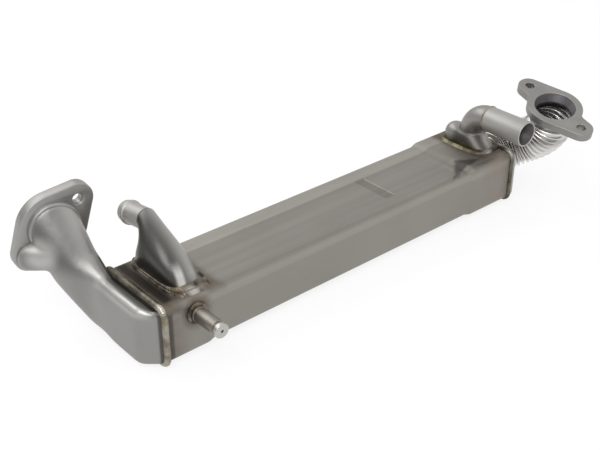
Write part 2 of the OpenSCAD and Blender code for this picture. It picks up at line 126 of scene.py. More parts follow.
class Nodes:
    """A node tree whose nodes come from one method."""

    def __init__(self, tree):
        self.tree = tree

    def node(self, kind, settings=None, inputs=None, out=0):
        """An output of a new node, after its settings are made and its sockets set or linked."""
        n = self.tree.nodes.new(kind)
        for k, v in (settings or {}).items():
            setattr(n, k, v)
        for k, v in (inputs or {}).items():
            self.put(n.inputs[k], v)
        return Val(self, n.outputs[out])

    def put(self, socket, v):
        """Link a socket to a value's socket, or set it to a number, vector or colour."""
        if isinstance(v, Val):
            self.tree.links.new(v.socket, socket)
        elif isinstance(v, (tuple, list)) and socket.type == "RGBA":
            socket.default_value = tuple(v)[:3] + (1.0,)
        else:
            socket.default_value = v


class Mat(Nodes):
    """One node material with its surface shader and the place on the part in millimetres."""

    def __init__(self, name):
        self.m = bpy.data.materials.new(name)
        self.m.use_nodes = True
        super().__init__(self.m.node_tree)
        self.tree.nodes.clear()
        self.shader = self.tree.nodes.new("ShaderNodeBsdfPrincipled")
        self.end = self.tree.nodes.new("ShaderNodeOutputMaterial")
        self.tree.links.new(self.shader.outputs[0], self.end.inputs[0])
        here = self.node("ShaderNodeTexCoord", out="Object")
        self.at = self.node("ShaderNodeVectorMath", {"operation": "MULTIPLY_ADD"},
                            {0: here, 1: (1000.0,) * 3, 2: (MID_X, 0.0, 0.0)})
        self.x, self.y, self.z = (self.node("ShaderNodeSeparateXYZ", {}, {0: self.at}, k) for k in range(3))

    def noise(self, size, detail=2.0, stretch=(1, 1, 1), shift=0.0):
        """Soft noise from 0 to 1 with features of that size in millimetres."""
        v = self.node("ShaderNodeMapping", {}, {
            "Vector": self.at, "Location": (shift, shift * 0.7, shift * 1.3),
            "Scale": tuple(1.0 / (size * s) for s in stretch)})
        return self.node("ShaderNodeTexNoise", {}, {
            "Vector": v, "Scale": 1.0, "Detail": detail, "Roughness": 0.5})

    def mix(self, f, a, b):
        return self.node("ShaderNodeMix", {"data_type": "RGBA"}, {0: f, 6: a, 7: b}, 2)

    def tone(self, colour, v):
        """colour made lighter or darker by the factor v."""
        return self.node("ShaderNodeMix", {"data_type": "RGBA", "blend_type": "MULTIPLY"},
                         {0: 1.0, 6: colour, 7: self.node("ShaderNodeCombineXYZ", {}, {0: v, 1: v, 2: v})}, 2)

    def spot(self, centre, half, soft):
        """1 within half of a point, falling to 0 over soft."""
        d = self.node("ShaderNodeVectorMath", {"operation": "DISTANCE"}, {0: self.at, 1: centre}, "Value")
        return d.step(half, half + soft, 1.0, 0.0)

    def done(self, colour, rough, metal=1.0, height=None, depth=0.2):
        """Set the surface; height is a bump of that depth in millimetres."""
        self.put(self.shader.inputs["Base Color"], colour)
        self.put(self.shader.inputs["Roughness"], rough)
        self.put(self.shader.inputs["Metallic"], metal)
        if height is not None:
            self.put(self.shader.inputs["Normal"], self.node("ShaderNodeBump", {}, {
                "Strength": 1.0, "Distance": depth * MM, "Height": height}))
        return self.m


def heat(m):
    """How strongly the steel is tinted by the heat of the welds near it."""
    n = m.noise(9, 3, shift=4)
    near = m.x.step(5, 32, 1.0, 0.0)
    far = m.x.step(398, 417, 0.0, 1.0)
    foot = lambda x, half_x, y, half_y: (abs(m.x - x) - half_x).most(abs(m.y - y) - half_y)
    top = m.z.step(TOP - 9, TOP - 3)
    base_out = foot(OUT_X, OUT_HALF, 4.0, 32.0).step(2, 15, 1.0, 0.0) * top
    base_in = foot(IN_BASE, IN_HALF, 2.5, 29.5).step(2, 14, 1.0, 0.0) * top
    stud = m.spot((BLEED[0], FRONT, BLEED[1]), 7, 13)
    ends = near.most(far * 0.8) * m.z.step(TOP - 10, TOP - 2, 0.5, 1.0)
    return (ends.most(base_out).most(base_in).most(stud) * (n * 0.9 + 0.5)).least(1.0)


def steel_casing():
    """Folded sheet, tinted near its welds, with a dark three-sided patch on the top near the outlet, and
    painted light and shade on its rear band, front edge, crease and groove.
    """
    m = Mat("casing_steel")
    big = m.noise(60, 3, shift=2)
    streak = m.noise(3.0, 4, (22, 1, 1), shift=8)
    fine = m.noise(0.7, 2, (30, 1, 1))
    top = m.z.step(TOP - 9, TOP - 5)
    wave = m.noise(8, 2, (40, 1, 1), shift=30)
    # Painted reflection: the rear band of the top is made lighter, as if it caught the bright sky
    rear = m.y.step(19.6, 21.2) * top
    # Painted shade: the cross groove in the top is made darker
    groove = m.x.bump(GROOVE_X, 4.6, 1.6) * m.y.step(-24, -20) * m.y.step(19, 21.5, 1.0, 0.0) * top
    # Painted shade: a dark line along the crease at the front of the top panel
    crease = m.y.bump(-36.3, 0.7, 2.2) * top
    # Painted highlight: a lighter band along the upper, rounded edge of the front face
    edge = m.z.bump(47.3, 2.2, 2.4) * m.y.step(-36, -38.6)
    # A dark three-sided patch on the top near the outlet
    lines = ((0.667, -0.745, -253.5), (-0.535, -0.845, 179.4), (-0.176, 0.984, 93.6))
    side = [m.x * a + m.y * b + c for a, b, c in lines]
    ragged = (m.noise(8, 3, shift=6) - 0.5) * 8.0
    dark_patch = (side[0].least(side[1]).least(side[2]) + ragged).step(-3.5, 1.0) * top
    v = (0.87 + big * 0.1 + streak * 0.08 + fine * 0.04 + (wave - 0.5) * 0.3 * top + rear * 0.3 - groove * 0.2
         - crease * 0.16 + edge * 0.13 - dark_patch * 0.6 - m.x.step(280, 420, 0.0, 0.08))
    base = m.mix(m.noise(40, 2, shift=11), (0.264, 0.250, 0.222), (0.281, 0.270, 0.246))
    h = heat(m)
    tint = m.mix(m.noise(12, 2, shift=20), (0.064, 0.047, 0.033), (0.168, 0.130, 0.086))
    warm = m.x.step(340, 405) * m.noise(24, 3, shift=17).step(0.35, 0.6) * 0.6
    col = m.mix(h * 0.85, m.mix(warm, m.tone(base, v), (0.255, 0.213, 0.178)), tint)
    gap = m.x.step(3, 9) * m.x.step(13, 19, 1.0, 0.0) * m.z.step(TOP - 6, TOP - 2) * m.y.step(-36, -30)
    line = m.x.bump(6.0, 1.2, 2.5) * m.z.step(TOP - 3, TOP - 8)
    col = m.mix(gap.most(line * 0.7) * 0.9, col, (0.020, 0.016, 0.013))
    return m.done(col, 0.36 + streak * 0.12 + h * 0.1, 0.85, streak * 0.5 + fine * 0.5, 0.05)


def steel_cast():
    """The cast duct: dark near its seam; sooty in its gas way, whose closed bottom is painted as shade;
    painted light towards the flange and on its shoulder and bolt boss; painted shade on its lid and the
    riser's left side.
    """
    m = Mat("cast_steel")
    big = m.noise(35, 3, shift=3)
    grain = m.noise(1.3, 3, shift=5)
    near = m.x.step(-6, -1) * m.y.step(50, 42)
    # Painted shade on the lid, the sloped top between the ridge and the seam
    lid = m.x.step(-11, -6) * m.z.step(TOP - 9, TOP - 4) * m.y.step(56, 40) * m.x.step(4, 2)
    joint = m.x.bump(-2.6, 0.5, 1.3) * m.y.step(48, 44)
    off = (m.x - GAS_IN[0] - (m.y - GAS_IN[1]) * GAS_IN_SLOPE) ** 2.0 + (m.z - GAS_IN[2]) ** 2.0
    # Sooty gas way; its closed bottom is painted dark as the shade of a deeper bore
    soot_and_shade = off.step(290, 262) * m.y.step(74.8, 75.8)
    face = (m.y + m.x * GAS_IN_SLOPE).step(72, 76)
    # Painted highlight on the bolt boss
    boss = m.spot((-42, 69, 71), 6, 13)
    # Painted shade on the left side of the riser, away from the light
    left = m.x.step(-8, -27) * m.y.step(26, 42) * m.z.step(50, 70, 0.4, 1.0)
    left = left * (1.0 - face) * (1.0 - boss)
    # Painted highlight along the shoulder, the top front edge of the header
    shoulder = m.z.step(45, 54) * m.x.step(-4, -11) * m.y.step(36, 28)
    # Painted light and shade: lighter towards the flange, on the shoulder and on the bolt boss, darker on the
    # riser's left side
    light_and_shade = m.y.step(10, 70, 0.0, 0.42) - face * 0.2 + boss * 0.15 + shoulder * 0.7 - left * 0.78
    col = m.tone(m.mix(big, (0.262, 0.256, 0.245), (0.300, 0.295, 0.285)), 0.94 + grain * 0.12 + light_and_shade)
    col = m.mix((near * 0.3).most(lid * 0.12), col, (0.085, 0.078, 0.066))
    col = m.mix(joint * 0.7, col, (0.022, 0.018, 0.015))
    col = m.mix(soot_and_shade * 0.95, col, (0.022, 0.020, 0.019))
    dents = m.noise(15, 2, shift=23)
    return m.done(col, 0.36 + big * 0.08 + grain * 0.06, 0.9, grain + dents * 9.0, 0.05)


def steel_weld(name, dark, light, gold, shade=1.0, glint=None, burnt=None):
    """A weld bead; shade darkens what lies on the casing's top, glint is the place of a painted
    highlight, burnt the stretch of y over which it turns brown."""
    m = Mat(name)
    n = m.noise(11, 3, shift=7)
    fine = m.noise(0.9, 3, shift=1)
    col = m.mix(n.step(0.36, 0.62), dark, light)
    col = m.mix(m.noise(14, 2, shift=13).step(0.5, 0.65) * 0.7, col, gold)
    col = m.tone(col, (0.75 + fine * 0.5) * m.z.step(TOP - 7, TOP - 1, 1.0, shade))
    if burnt:
        col = m.mix(m.y.step(*burnt) * 0.85, col, (0.062, 0.047, 0.037))
    if glint:
        # Painted highlight: a bright spot on the bead at glint
        col = m.mix(m.spot(glint, 2, 6) * 0.85, col, (0.52, 0.49, 0.44))
    return m.done(col, 0.24 + fine * 0.2, 0.9, fine, 0.12)


def steel_formed(name, low, high, rough, grain_size=1.0, stretch=(1, 1, 1), metal=0.95,
                 shade=0.0, depth=0.03, tip=0.0, streak=0.0, lit=None):
    """Drawn or formed steel; shade darkens the coolant pipes' sides away from the light, tip brightens
    the stud's end, streak paints a highlight on the outlet pipe's foot, and lit is the place of a painted
    pool of light."""
    m = Mat(name)
    big = m.noise(24, 3, shift=9)
    fine = m.noise(grain_size, 3, stretch, shift=2)
    h = heat(m) * m.z.step(TOP + 12, TOP, 0.0, 1.0)
    # Painted shade on the coolant pipes' sides turned away from the light
    shaded_side_out = m.x.step(40, 27) * m.x.step(300, 299)
    shaded_side_in = m.x.step(405, 395) * m.x.step(299, 300) * m.z.step(TOP + 24, TOP + 12) * m.y.step(20, 10)
    col = m.tone(m.mix(big, low, high), 0.93 + fine * 0.14 - (shaded_side_out + shaded_side_in) * shade)
    col = m.mix(h * 0.6, col, (0.12, 0.1, 0.078))
    if streak:
        # Painted highlight: a bright streak down the outlet pipe's foot, and its right side made lighter
        line = m.x.bump(29, 1.5, 3.5) * m.z.bump(TOP + 9, 3, 11) * m.y.step(-8, -16) * (fine * 0.6 + 0.5)
        col = m.tone(col, m.x.step(34, 44, 1.0, 1.35))
        col = m.mix((line * streak).least(1.0), col, (0.80, 0.78, 0.745))
    if lit:
        # Painted pool of light at lit
        col = m.mix(m.spot(lit, 4, 9) * 0.6, col, (0.56, 0.54, 0.52))
    if tip:
        col = m.mix(m.y.step(FRONT - 29.4, FRONT - 31) * tip, col, (0.50, 0.49, 0.46))
    return m.done(col, rough + fine * 0.1 + big * 0.05, metal, fine, depth)


def steel_flange():
    """The gas outlet's flange: dull and mottled."""
    m = Mat("flange_steel")
    big = m.noise(20, 3, shift=15)
    fine = m.noise(0.9, 3, shift=3)
    col = m.tone(m.mix(big, (0.222, 0.217, 0.206), (0.345, 0.338, 0.323)), 0.9 + fine * 0.22)
    return m.done(col, 0.36 + big * 0.1 + fine * 0.06, 0.9, fine, 0.1)


def steel_dark():
    """Bores and insides: heat-tinted and sooty in the gas ways, and painted shade inside the coolant tube."""
    m = Mat("bore_steel")
    n = m.noise(6, 3, shift=21)
    col = m.mix(n, (0.060, 0.055, 0.060), (0.135, 0.125, 0.130))
    return m.done(col, 0.4 + n * 0.15, 0.85, n, 0.06)


def floor_paint():
    """White to the camera and in reflections, with the part's shadow kept."""
    m = Mat("floor_paint")
    n = m.noise(220, 2)
    m.done(m.mix(n, (0.88, 0.88, 0.88), (0.9, 0.9, 0.9)), 0.75 + n * 0.05, 0.0)
    glow = m.node("ShaderNodeEmission", {}, {"Color": (1.0, 1.0, 1.0), "Strength": 1.0})
    kinds = ("Is Camera Ray", "Is Glossy Ray", "Is Transmission Ray")
    ray = [m.node("ShaderNodeLightPath", {}, {}, k) for k in kinds]
    seen = ray[0].most(ray[1]).most(ray[2]) * 0.84
    both = m.node("ShaderNodeMixShader", {}, {0: seen, 1: Val(m, m.shader.outputs[0]), 2: glow})
    m.put(m.end.inputs[0], both)
    return m.m


CASING = steel_casing()
CAST = steel_cast()
WELD = steel_weld("weld_steel", (0.125, 0.108, 0.088), (0.36, 0.335, 0.29), (0.30, 0.245, 0.155))
SEAM_WELD = steel_weld("seam_weld_steel", (0.15, 0.13, 0.10), (0.34, 0.315, 0.265), (0.29, 0.24, 0.15),
                       shade=0.6, glint=(1.0, -38.0, TOP))
BROWN_WELD = steel_weld("brown_weld_steel", (0.040, 0.033, 0.026), (0.20, 0.178, 0.148), (0.16, 0.122, 0.075),
                        glint=(34.0, -34.5, TOP))
OLIVE_WELD = steel_weld("olive_weld_steel", (0.060, 0.055, 0.042), (0.155, 0.145, 0.112), (0.16, 0.14, 0.085),
                        shade=0.8, glint=(417.0, -38.0, TOP - 2))
GOLD_WELD = steel_weld("gold_weld_steel", (0.085, 0.076, 0.044), (0.20, 0.185, 0.12), (0.21, 0.185, 0.10),
                       glint=(398.0, -23.0, TOP), burnt=(-8, -17))
PIPE = steel_formed("pipe_steel", (0.270, 0.263, 0.245), (0.325, 0.318, 0.300), 0.3,
                    shade=0.7, depth=0.003, streak=0.9)
ELBOW = steel_formed("elbow_steel", (0.295, 0.286, 0.270), (0.355, 0.346, 0.330), 0.38,
                     shade=0.6, depth=0.01, lit=(409, -17, TOP + 8))
BRIGHT = steel_formed("bright_steel", (0.37, 0.362, 0.342), (0.45, 0.442, 0.422), 0.44,
                      grain_size=1.5, stretch=(1, 22, 1), metal=0.9)
STUD = steel_formed("stud_steel", (0.235, 0.218, 0.188), (0.315, 0.298, 0.262), 0.3,
                    grain_size=0.8, stretch=(1, 6, 1), metal=0.9, tip=0.9)
WAVES = steel_formed("bellows_steel", (0.78, 0.775, 0.76), (0.86, 0.855, 0.84), 0.12,
                     grain_size=1.6, metal=1.0, depth=0.006)
FLANGE = steel_flange()
BORE = steel_dark()
INNER = steel_formed("inner_steel", (0.22, 0.215, 0.205), (0.28, 0.274, 0.262), 0.36)


# Mesh building, in millimetres


def piece(name, verts, faces, mat, stands_for=()):
    """A finished piece on the part; verts in millimetres."""
    mesh = bpy.data.meshes.new(name)
    mesh.from_pydata([tuple(v) for v in np.asarray(verts, float) * MM], [], [tuple(f) for f in faces])
    return own(name, mesh, mat, stands_for)


def own(name, mesh, mat, stands_for=(), angle=None):
    """Make a mesh a piece of the part's one body; edges bent more than angle stay sharp."""
    mesh.validate()
    mesh.transform(Matrix.Translation((-MID_X * MM, 0, 0)))
    bm = bmesh.new()
    bm.from_mesh(mesh)
    bmesh.ops.remove_doubles(bm, verts=bm.verts, dist=1e-7)
    bmesh.ops.recalc_face_normals(bm, faces=bm.faces)
    for f in bm.faces:
        f.smooth = True
    if angle is not None:
        for e in bm.edges:
            e.smooth = not (e.is_manifold and e.calc_face_angle(0.0) > math.radians(angle))
    bm.to_mesh(mesh)
    bm.free()
    mesh.materials.clear()
    mesh.materials.append(mat)
    mesh.name = name
    ob = bpy.data.objects.new(name, mesh)
    bpy.context.scene.collection.objects.link(ob)
    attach(ob, "root")
    if stands_for:
        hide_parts(*stands_for)
    return ob


def quads(nu, nv, round_u=False, round_v=False):
    """Faces of a grid of nu rows with nv points each."""
    return [(i * nv + j, i * nv + (j + 1) % nv, (i + 1) % nu * nv + (j + 1) % nv, (i + 1) % nu * nv + j)
            for i in range(nu if round_u else nu - 1) for j in range(nv if round_v else nv - 1)]


def hoop(frame4, z, r, n=60):
    """Points round a circle of radius r at the height z of the frame."""
    a = np.linspace(0, 2 * np.pi, n, endpoint=False)
    v = np.stack([r * np.cos(a), r * np.sin(a), np.full(n, z)], 1)
    return v @ frame4[:3, :3].T + frame4[:3, 3]


def drum(frame4, z0, z1, r, n=64):
    """Both end circles of a cylinder."""
    return np.concatenate([hoop(frame4, z, r, n) for z in (z0, z1)])


def spun(name, profile, frame4, n, mat, stands_for=()):
    """A piece turned about the frame's z from a closed profile of (distance, radius)."""
    v = np.concatenate([hoop(frame4, z, r, n) for z, r in profile])
    return piece(name, v, quads(len(profile), n, True, True), mat, stands_for)


def basis(origin, z, x=None):
    """Frame with that z, as a 4x4."""
    z = np.asarray(z, float) / np.linalg.norm(z)
    x = np.asarray(x if x is not None else ((1, 0, 0) if abs(z[0]) < 0.9 else (0, 1, 0)), float)
    x = x - z * (x @ z)
    x /= np.linalg.norm(x)
    m = np.eye(4)
    m[:3, :3] = np.stack([x, np.cross(z, x), z], 1)
    m[:3, 3] = origin
    return m


def rounded(points, r, n=5):
    """A profile with each inner corner rounded by r."""
    p = [np.array(q, float) for q in points]
    out = [p[0]]
    for a, b, c in zip(p, p[1:], p[2:]):
        d = min(r, 0.45 * np.linalg.norm(a - b), 0.45 * np.linalg.norm(c - b))
        s, e = b + (a - b) / np.linalg.norm(a - b) * d, b + (c - b) / np.linalg.norm(c - b) * d
        for t in np.linspace(0, 1, n):
            out.append((1 - t) ** 2 * s + 2 * t * (1 - t) * b + t * t * e)
    return out + [p[-1]]


def ball(c, r, n=22):
    """n times n points spread evenly over a ball."""
    i = np.arange(n * n)
    z = 1 - 2 * (i + 0.5) / (n * n)
    a = i * GOLDEN_ANGLE
    return np.array(c) + r * np.stack([np.sqrt(1 - z * z) * np.cos(a), np.sqrt(1 - z * z) * np.sin(a), z], 1)


def slot_line(cx, half, y0, y1, z, n=24):
    """Points round a slot that lies along Y."""
    a = np.linspace(0, np.pi, n)
    one = np.stack([cx + half * np.cos(a), y1 - half + half * np.sin(a)], 1)
    two = np.stack([cx - half * np.cos(a), y0 + half - half * np.sin(a)], 1)
    p = np.concatenate([one, two])
    return np.c_[p, np.full(len(p), z)]


def blob(name, clouds, voxel, soften, shape, mat, stands_for, ease=None):
    """Convex forms melted into one smooth skin; ease says where it flows most, and shape moves
    the finished points."""
    bm = bmesh.new()
    for c in clouds:
        vs = [bm.verts.new(tuple(p * MM)) for p in np.asarray(c)]
        hull = bmesh.ops.convex_hull(bm, input=vs)
        inner = hull["geom_interior"] + hull["geom_unused"]
        spare = {v for v in inner if isinstance(v, bmesh.types.BMVert) and v.is_valid}
        bmesh.ops.delete(bm, geom=list(spare), context="VERTS")
    bmesh.ops.recalc_face_normals(bm, faces=bm.faces)
    mesh = bpy.data.meshes.new(name)
    bm.to_mesh(mesh)
    bm.free()
    tmp = bpy.data.objects.new("tmp", mesh)
    bpy.context.scene.collection.objects.link(tmp)
    r = tmp.modifiers.new("r", "REMESH")
    r.mode, r.voxel_size = "VOXEL", voxel * MM
    s = tmp.modifiers.new("s", "SMOOTH")
    s.factor, s.iterations = 0.5, soften
    dep = bpy.context.evaluated_depsgraph_get()
    out = bpy.data.meshes.new_from_object(tmp.evaluated_get(dep))
    bpy.data.objects.remove(tmp)
    bpy.data.meshes.remove(mesh)
    co = np.empty(len(out.vertices) * 3)
    out.vertices.foreach_get("co", co)
    co = co.reshape(-1, 3) / MM
    if ease is not None:
        ends = np.empty(len(out.edges) * 2, int)
        out.edges.foreach_get("vertices", ends)
        a, b = ends.reshape(-1, 2).T
        many = np.bincount(ends, minlength=len(co))[:, None]
        much = 0.5 * ease(co)[:, None]
        for _ in range(FLOW_ROUNDS):
            near = [np.bincount(a, co[b, k], len(co)) + np.bincount(b, co[a, k], len(co)) for k in range(3)]
            co = co + much * (np.stack(near, 1) / many - co)
    co = shape(co) * MM
    out.vertices.foreach_set("co", co.ravel())
    return own(name, out, mat, stands_for)


def plate(name, outline, holes, thick, edge, frame4, mat, stands_for=()):
    """A flat plate with rounded edges and round holes, on the frame's z from 0 to thick."""
    cu = bpy.data.curves.new(name, "CURVE")
    cu.dimensions, cu.fill_mode = "2D", "BOTH"
    cu.extrude, cu.offset = (thick / 2 - edge) * MM, -edge * MM
    cu.bevel_depth, cu.bevel_resolution = edge * MM, 3
    for line in [outline] + [arc(cx, cy, r, 0, 2 * np.pi, 57)[:-1] for cx, cy, r in holes]:
        sp = cu.splines.new("POLY")
        sp.points.add(len(line) - 1)
        flat = np.c_[np.asarray(line) * MM, np.zeros(len(line)), np.ones(len(line))]
        sp.points.foreach_set("co", flat.ravel())
        sp.use_cyclic_u = True
    ob = bpy.data.objects.new("tmp", cu)
    bpy.context.scene.collection.objects.link(ob)
    mesh = bpy.data.meshes.new_from_object(ob.evaluated_get(bpy.context.evaluated_depsgraph_get()))
    bpy.data.objects.remove(ob)
    bpy.data.curves.remove(cu)
    m = np.array(frame4)
    m[:3, 3] = (m[:3, 3] + m[:3, 2] * thick / 2) * MM
    mesh.transform(Matrix(m.tolist()))
    return own(name, mesh, mat, stands_for, angle=32)


def arc(cx, cy, r, a0, a1, n=24):
    """n points on a circle from the angle a0 to a1."""
    a = np.linspace(a0, a1, n)
    return np.stack([cx + r * np.cos(a), cy + r * np.sin(a)], 1)


def turned(line, degrees):
    """Flat points turned about the middle."""
    c, s = math.cos(math.radians(degrees)), math.sin(math.radians(degrees))
    return np.asarray(line) @ np.array([[c, s], [-s, c]])


def bolt_holes(reach, degrees, bore):
    """A flange's two bolt holes and its bore, each as middle and radius."""
    x, y = reach * math.cos(math.radians(degrees)), reach * math.sin(math.radians(degrees))
    return [(-x, -y, BOLT_R), (x, y, BOLT_R), (0, 0, bore)]


# Weld beads: overlapping ripples set along a line


def bead_group():
    """Geometry nodes that set thin overlapping balls along a line."""
    inputs = (("Line", "NodeSocketGeometry"), ("Bead", "NodeSocketFloat"), ("Pitch", "NodeSocketFloat"),
              ("Seed", "NodeSocketInt"), ("Steel", "NodeSocketMaterial"))
    tree = bpy.data.node_groups.new("weld_bead", "GeometryNodeTree")
    for name, kind in inputs:
        tree.interface.new_socket(name, in_out="INPUT", socket_type=kind)
    tree.interface.new_socket("Bead", in_out="OUTPUT", socket_type="NodeSocketGeometry")
    g = Nodes(tree)
    given = {name: g.node("NodeGroupInput", out=name) for name, kind in inputs}
    line = g.node("GeometryNodeResampleCurve", {"mode": "LENGTH"},
                  {"Curve": given["Line"], "Length": given["Pitch"]})
    size = g.node("FunctionNodeRandomValue", {"data_type": "FLOAT"},
                  {2: 0.97, 3: 1.03, "Seed": given["Seed"]}, 1)
    wide, thin = size * given["Bead"], given["Pitch"] * 1.7
    scale = g.node("ShaderNodeCombineXYZ", {}, {0: wide, 1: wide, 2: thin})
    way = g.node("GeometryNodeInputTangent")
    turn = g.node("FunctionNodeAlignRotationToVector", {"axis": "Z"}, {"Vector": way})
    ripple = g.node("GeometryNodeMeshUVSphere", {}, {"Segments": 20, "Rings": 10, "Radius": 1.0})
    many = g.node("GeometryNodeInstanceOnPoints", {}, {
        "Points": line, "Instance": ripple, "Rotation": turn, "Scale": scale})
    real = g.node("GeometryNodeRealizeInstances", {}, {0: many})
    soft = g.node("GeometryNodeSetShadeSmooth", {}, {0: real})
    made = g.node("GeometryNodeSetMaterial", {}, {"Geometry": soft, "Material": given["Steel"]})
    g.put(tree.nodes.new("NodeGroupOutput").inputs[0], made)
    return tree


BEAD = bead_group()


def weld(name, points, size, pitch, mat, stands_for, seed):
    """A rippled bead round a closed line."""
    cu = bpy.data.curves.new(name, "CURVE")
    cu.dimensions = "3D"
    sp = cu.splines.new("POLY")
    p = np.asarray(points) * MM
    sp.points.add(len(p) - 1)
    sp.points.foreach_set("co", np.c_[p, np.ones(len(p))].ravel())
    sp.use_cyclic_u = True
    ob = bpy.data.objects.new("tmp", cu)
    bpy.context.scene.collection.objects.link(ob)
    mod = ob.modifiers.new("bead", "NODES")
    mod.node_group = BEAD
    ids = {s.name: s.identifier for s in BEAD.interface.items_tree if s.in_out == "INPUT"}
    for k, v in (("Bead", size * MM), ("Pitch", pitch * MM), ("Seed", seed), ("Steel", mat)):
        mod[ids[k]] = v
    mesh = bpy.data.meshes.new_from_object(ob.evaluated_get(bpy.context.evaluated_depsgraph_get()))
    bpy.data.objects.remove(ob)
    bpy.data.curves.remove(cu)
    return own(name, mesh, mat, stands_for)


def curve(p, t):
    """Points on the cubic curve with those four handles."""
    p, t = np.asarray(p, float), np.asarray(t, float)[:, None]
    return (1 - t) ** 3 * p[0] + 3 * t * (1 - t) ** 2 * p[1] + 3 * t * t * (1 - t) * p[2] + t ** 3 * p[3]


def loft(name, rows, mat, stands_for=()):
    """A skin through rings of points, with flat ends."""
    v = np.asarray(rows)
    nu, nv = v.shape[:2]
    faces = quads(nu, nv, False, True)
    for end, row in ((nu * nv, 0), (nu * nv + 1, nu - 1)):
        faces += [(row * nv + j, row * nv + (j + 1) % nv, end) for j in range(nv)]
    points = np.concatenate([v.reshape(-1, 3), [v[0].mean(0), v[-1].mean(0)]])
    return piece(name, points, faces, mat, stands_for)


def squared(n, count):
    """Points round a circle of radius 1 that is squarer the higher n is above 2."""
    a = np.linspace(0, 2 * np.pi, count, endpoint=False)
    p = np.stack([np.cos(a), np.sin(a)], 1)
    return np.sign(p) * np.abs(p) ** (2 / n)


def fillet(name, cx, half, ys, n, reach, height, bead, mat, stands_for):
    """A broad rippled seam round a foot; reach is its width at the sides, the front
    and the rear, bead the height, place and width of its crest."""
    rows = []
    for w in np.linspace(-0.12, 1, 15):
        y0, y1 = ys[0] - w * reach[1], ys[1] + w * reach[2]
        flat = squared(n, 400) * (half + w * reach[0], (y1 - y0) / 2) + (cx, (y0 + y1) / 2)
        line = np.c_[flat, np.zeros(400)]
        gone = np.r_[0, np.cumsum(np.linalg.norm(np.diff(line, axis=0), axis=1))]
        ripple = 0.22 * np.sin(2 * np.pi * (gone / 2.9 + 0.5 * w)) * np.sin(np.pi * min(1, max(0, w)))
        hump = bead[0] * np.exp(-((w - bead[1]) / bead[2]) ** 2)
        fall = END_R - np.sqrt(END_R ** 2 - np.clip(np.abs(line[:, 1]) - CY, 0, END_R - 0.4) ** 2)
        skin = TOP - FLARE + flare_at(line[:, 0]) - fall
        line[:, 2] = skin - 0.6 + height * max(0.0, 1 - w) ** 1.6 + hump * (1 - w ** 6) + ripple
        rows.append(line)
    return loft(name, rows, mat, stands_for)


def flare_at(x):
    """How far the casing stands out at x."""
    return FLARE * np.maximum(1 - step(*IN_FLARE, x), step(*OUT_FLARE, x))


def seam_line(x, n=10):
    """Points round the casing's flared outline at x."""
    pts = []
    for q, (sy, sz) in enumerate(((1, 1), (-1, 1), (-1, -1), (1, -1))):
        for a in np.linspace(q * np.pi / 2, (q + 1) * np.pi / 2, n):
            pts.append((x, sy * CY + END_R * math.cos(a), ZC + sz * CZ + END_R * math.sin(a)))
    return pts


# Casing


def casing():
    """The folded shell, lofted along x from rings of points on its top, sides and corners."""
    panel_deep, groove_deep, rear_fall, front_fall = 1.0, 0.7, 0.6, 0.47
    xs = [np.linspace(*span) for span in ((2, LEN - 2, 70), (38, 66, 30), (336, 370, 36), (258, 274, 40))]
    xs = np.unique(np.round(np.concatenate(xs), 3))
    ys = [np.linspace(-CY, CY, 50), np.linspace(-25, -18, 14), np.linspace(17.5, 23, 26)]
    ys = np.unique(np.round(np.concatenate(ys), 3))
    corner = lambda q: [("corner", q, a) for a in np.linspace((q - 1) * np.pi / 2, q * np.pi / 2, 9)[1:-1]]
    ring = [("top", y) for y in ys[::-1]] + corner(2)
    ring += [("front", z) for z in np.linspace(CZ, -CZ, 22)] + corner(3)
    ring += [("low", y) for y in np.linspace(-CY, CY, 26)] + corner(4)
    ring += [("rear", z) for z in np.linspace(-CZ, CZ, 22)] + corner(1)
    v = np.zeros((len(xs), len(ring), 3))
    f = flare_at(xs)
    r = CORNER + f
    mid = 1 - f / FLARE
    inside = step(PANEL_X[0] - 2, PANEL_X[0] + 3, xs) * (1 - step(PANEL_X[1] - 4, PANEL_X[1] + 3, xs))
    cut = step(GROOVE_X - 6.5, GROOVE_X - 4.2, xs) * (1 - step(GROOVE_X + 4.2, GROOVE_X + 6.5, xs))
    v[:, :, 0] = xs[:, None]
    for j, (where, *at) in enumerate(ring):
        if where == "top":
            y = at[0]
            panel = panel_deep * inside * step(-38, -29, y) * (1 - step(19.2, 21.4, y))
            groove = groove_deep * cut * step(-24, -20.5, y) * (1 - step(18.0, 20.5, y))
            slope = rear_fall * mid * max(0.0, (y - 25.5) / 9) ** 1.5
            v[:, j, 1], v[:, j, 2] = y, ZC + CZ + r - (panel + groove) - slope
        elif where == "low":
            v[:, j, 1], v[:, j, 2] = at[0], ZC - CZ - r
        elif where == "corner":
            q, a = at
            sy, sz = {1: (1, 1), 2: (-1, 1), 3: (-1, -1), 4: (1, -1)}[q]
            fall = {1: rear_fall * mid, 2: front_fall * inside}.get(q, 0.0) * max(0, math.sin(a)) ** 2
            v[:, j, 1] = sy * CY + r * math.cos(a)
            v[:, j, 2] = ZC + sz * CZ + r * math.sin(a) - fall
        else:
            v[:, j, 1], v[:, j, 2] = (-1 if where == "front" else 1) * (CY + r), ZC + at[0]
    faces = quads(len(xs), len(ring), False, True)
    return piece("casing_shell", v.reshape(-1, 3), faces, CASING, ["casing"])


casing()

# Gas inlet duct and its flange

INLET_N = np.array([math.sin(math.radians(GAS_IN_TURN)), math.cos(math.radians(GAS_IN_TURN)), 0.0])
INLET = basis(GAS_IN, INLET_N, (-INLET_N[1], INLET_N[0], 0.0))


